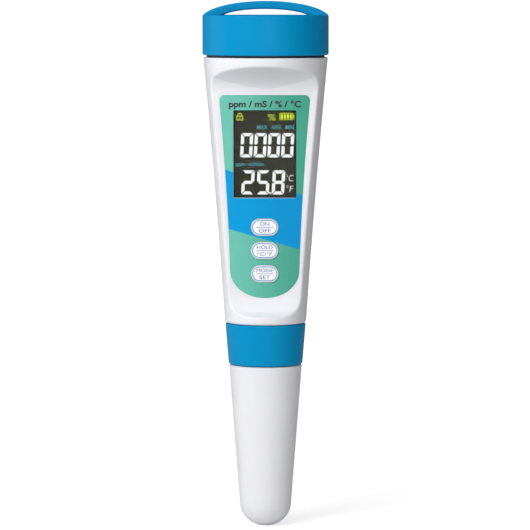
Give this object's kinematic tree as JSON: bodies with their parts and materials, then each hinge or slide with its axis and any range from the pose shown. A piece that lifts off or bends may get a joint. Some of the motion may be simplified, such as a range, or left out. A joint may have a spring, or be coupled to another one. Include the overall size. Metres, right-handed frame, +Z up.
{
  "type": "water quality test pen",
  "caption": "Hand-held pen meter for water quality: flat face with display and keys, screwed battery cap with bail, collar-held probe and pull-off protective cap.",
  "frame": {"origin": "the tip of the protective cap, on the pen's long axis, at the bottom centre of the bounding box", "axes": "+Z up the pen's axis from the probe to the battery cap, -Y out of the labelled face, +X to the right of someone reading the display"},
  "size_m": [0.045, 0.045, 0.188],
  "materials": {
    "casing_white": "smooth satin moulded plastic",
    "accent_blue": "smooth satin moulded plastic, blue",
    "label_print": "printed plastic film",
    "clear_window": "clear polished acrylic",
    "key_white": "soft matt moulded plastic with printed legend",
    "display_dark": "dark liquid crystal glass with light segments",
    "inner_white": "plain moulded plastic",
    "inner_black": "plain black moulded plastic",
    "seal_black": "black sealing rubber",
    "strip_rubber": "layered elastic contact strip",
    "board_green": "green solder mask on glass-fibre board",
    "spring_steel": "nickel-plated spring steel",
    "cell_steel": "nickel-plated steel can",
    "screw_steel": "zinc-plated steel",
    "pin_brass": "gold-plated brass",
    "probe_grey": "dark engineering plastic",
    "electrode_steel": "polished stainless steel"
  },
  "bodies": {
    "casing": {"casing": "casing_white", "face_label": "label_print", "window_lens": "clear_window", "display_frame": "inner_white", "display_glass": "display_dark", "backlight": "inner_white", "contact_strip": "strip_rubber", "battery_holder": "inner_black", "cell_1": "cell_steel", "cell_2": "cell_steel", "cell_3": "cell_steel", "cell_4": "cell_steel", "battery_leaves": "spring_steel", "circuit_board": "board_green", "chassis": "inner_white", "processor_chip": "inner_black", "board_screws": "screw_steel", "power_switch": "inner_black", "hold_switch": "inner_black", "mode_switch": "inner_black", "probe_socket": "inner_black"},
    "cap_seal": {"cap_gasket": "seal_black"},
    "battery_cap": {"battery_cap": "accent_blue", "cap_contact": "spring_steel"},
    "probe": {"probe_body": "probe_grey", "probe_pins": "pin_brass", "probe_seal": "seal_black", "probe_guard": "probe_grey", "electrodes": "electrode_steel", "temperature_sensor": "electrode_steel", "spigot_oring": "seal_black"},
    "collar": {"collar": "accent_blue"},
    "protective_cap": {"protective_cap": "casing_white"},
    "power_button": {"power_key": "key_white", "power_plunger": "inner_black"},
    "hold_button": {"hold_key": "key_white", "hold_plunger": "inner_black"},
    "mode_button": {"mode_key": "key_white", "mode_plunger": "inner_black"}
  },
  "joints": [
    {"name": "cap_lift", "type": "slide", "parent": "casing", "child": "cap_seal", "axis": [0, 0, 1], "range_m": [0, 0.00901]},
    {"name": "cap_turn", "type": "hinge", "parent": "cap_seal", "child": "battery_cap", "pos_m": [0, 0, 0.1758], "axis": [0, 0, 1], "range_deg": [0, 1080]},
    {"name": "probe_draw", "type": "slide", "parent": "casing", "child": "probe", "axis": [0, 0, -1], "range_m": [0, 0.01051]},
    {"name": "collar_turn", "type": "hinge", "parent": "probe", "child": "collar", "pos_m": [0, 0, 0.0657], "axis": [0, 0, -1], "range_deg": [0, 1260]},
    {"name": "cap_pull", "type": "slide", "parent": "probe", "child": "protective_cap", "axis": [0, 0, -1], "range_m": [0, 0.045]},
    {"name": "power_press", "type": "slide", "parent": "casing", "child": "power_button", "axis": [0, 0.9998, 0.0175], "range_m": [0, 0.00035], "stiffness_N_per_m": 2000, "springref_m": -0.0002},
    {"name": "hold_press", "type": "slide", "parent": "casing", "child": "hold_button", "axis": [0, 0.9998, 0.0175], "range_m": [0, 0.00035], "stiffness_N_per_m": 2000, "springref_m": -0.0002},
    {"name": "mode_press", "type": "slide", "parent": "casing", "child": "mode_button", "axis": [0, 0.9998, 0.0175], "range_m": [0, 0.00035], "stiffness_N_per_m": 2000, "springref_m": -0.0002}
  ],
  "couplings": [
    {"joint": "cap_lift", "follows": "cap_turn", "m_per_rad": 0.00047746},
    {"joint": "probe_draw", "follows": "collar_turn", "m_per_rad": 0.00047746}
  ]
}
